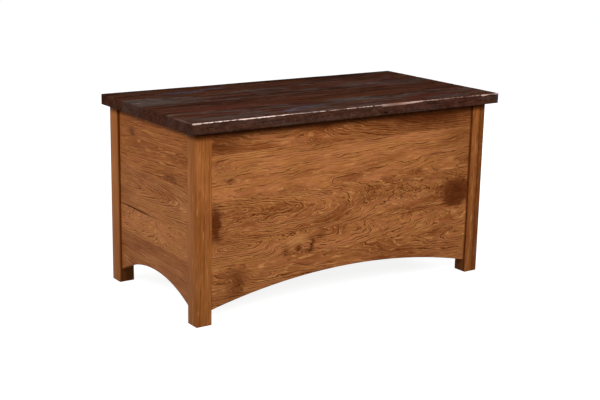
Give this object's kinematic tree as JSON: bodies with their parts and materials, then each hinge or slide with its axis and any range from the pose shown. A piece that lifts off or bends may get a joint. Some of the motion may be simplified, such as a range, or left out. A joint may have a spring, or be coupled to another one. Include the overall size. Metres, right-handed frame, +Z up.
{
  "type": "blanket chest",
  "caption": "Free-standing wooden blanket chest with square posts, edge-glued panels cut as arches below, and a hinged lid of old planks on folding stays.",
  "frame": {"origin": "on the floor, under the centre of the chest's bounding box, lid and hinge barrels included", "axes": "+Z up, +X along the chest to its right end as seen from the front, and the front faces -Y"},
  "size_m": [1.005, 0.5128, 0.534],
  "materials": {
    "post_wood": "satin lacquer over brown stain",
    "panel_wood": "satin lacquer over brown stain",
    "lid_wood": "hewn old planks, dark stain, satin lacquer",
    "cedar": "bare planed",
    "poplar": "bare planed",
    "brass": "brushed, slightly dulled",
    "plated_steel": "zinc plated"
  },
  "bodies": {
    "case": {"post_front_left": "post_wood", "post_front_right": "post_wood", "post_back_left": "post_wood", "post_back_right": "post_wood", "front_board_1": "panel_wood", "front_board_2": "panel_wood", "front_board_3": "panel_wood", "front_board_4": "panel_wood", "front_board_5": "panel_wood", "back_board_1": "panel_wood", "back_board_2": "panel_wood", "back_board_3": "panel_wood", "back_board_4": "panel_wood", "left_end_board_1": "panel_wood", "left_end_board_2": "panel_wood", "left_end_board_3": "panel_wood", "left_end_board_4": "panel_wood", "left_end_board_5": "panel_wood", "right_end_board_1": "panel_wood", "right_end_board_2": "panel_wood", "right_end_board_3": "panel_wood", "right_end_board_4": "panel_wood", "right_end_board_5": "panel_wood", "cleat_front": "poplar", "cleat_back": "poplar", "cleat_left": "poplar", "cleat_right": "poplar", "bottom_board_1": "cedar", "bottom_board_2": "cedar", "bottom_board_3": "cedar", "bottom_board_4": "cedar", "bottom_board_5": "cedar", "bottom_board_6": "cedar", "hinge_left_case_leaf": "brass", "hinge_left_pin": "brass", "hinge_middle_case_leaf": "brass", "hinge_middle_pin": "brass", "hinge_right_case_leaf": "brass", "hinge_right_pin": "brass", "stay_left_case_bracket": "plated_steel", "stay_right_case_bracket": "plated_steel"},
    "lid": {"lid_plank_1": "lid_wood", "lid_plank_2": "lid_wood", "lid_plank_3": "lid_wood", "lid_plank_4": "lid_wood", "lid_batten_left": "poplar", "lid_batten_middle": "poplar", "lid_batten_right": "poplar", "hinge_left_lid_leaf": "brass", "hinge_middle_lid_leaf": "brass", "hinge_right_lid_leaf": "brass", "stay_left_lid_bracket": "plated_steel", "stay_right_lid_bracket": "plated_steel"},
    "left_lower_arm": {"stay_left_lower_arm": "plated_steel"},
    "left_upper_arm": {"stay_left_upper_arm": "plated_steel"},
    "right_lower_arm": {"stay_right_lower_arm": "plated_steel"},
    "right_upper_arm": {"stay_right_upper_arm": "plated_steel"}
  },
  "joints": [
    {"name": "lid_hinge", "type": "hinge", "parent": "case", "child": "lid", "pos_m": [0, 0.2524, 0.50585], "axis": [-1, 0, 0], "range_deg": [0, 95]},
    {"name": "left_stay_case_pivot", "type": "hinge", "parent": "case", "child": "left_lower_arm", "pos_m": [-0.4293, 0.2134, 0.33585], "axis": [-1, 0, 0], "range_deg": [0, 95]},
    {"name": "left_stay_lid_pivot", "type": "hinge", "parent": "lid", "child": "left_upper_arm", "pos_m": [-0.4269, 0.0024, 0.49285], "axis": [-1, 0, 0], "range_deg": [-95, 0]},
    {"name": "right_stay_case_pivot", "type": "hinge", "parent": "case", "child": "right_lower_arm", "pos_m": [0.4293, 0.2134, 0.33585], "axis": [-1, 0, 0], "range_deg": [0, 95]},
    {"name": "right_stay_lid_pivot", "type": "hinge", "parent": "lid", "child": "right_upper_arm", "pos_m": [0.4269, 0.0024, 0.49285], "axis": [-1, 0, 0], "range_deg": [-95, 0]}
  ],
  "couplings": [
    {"joint": "left_stay_case_pivot", "follows": "lid_hinge", "ratio": 1},
    {"joint": "left_stay_lid_pivot", "follows": "lid_hinge", "ratio": -1},
    {"joint": "right_stay_case_pivot", "follows": "lid_hinge", "ratio": 1},
    {"joint": "right_stay_lid_pivot", "follows": "lid_hinge", "ratio": -1}
  ]
}
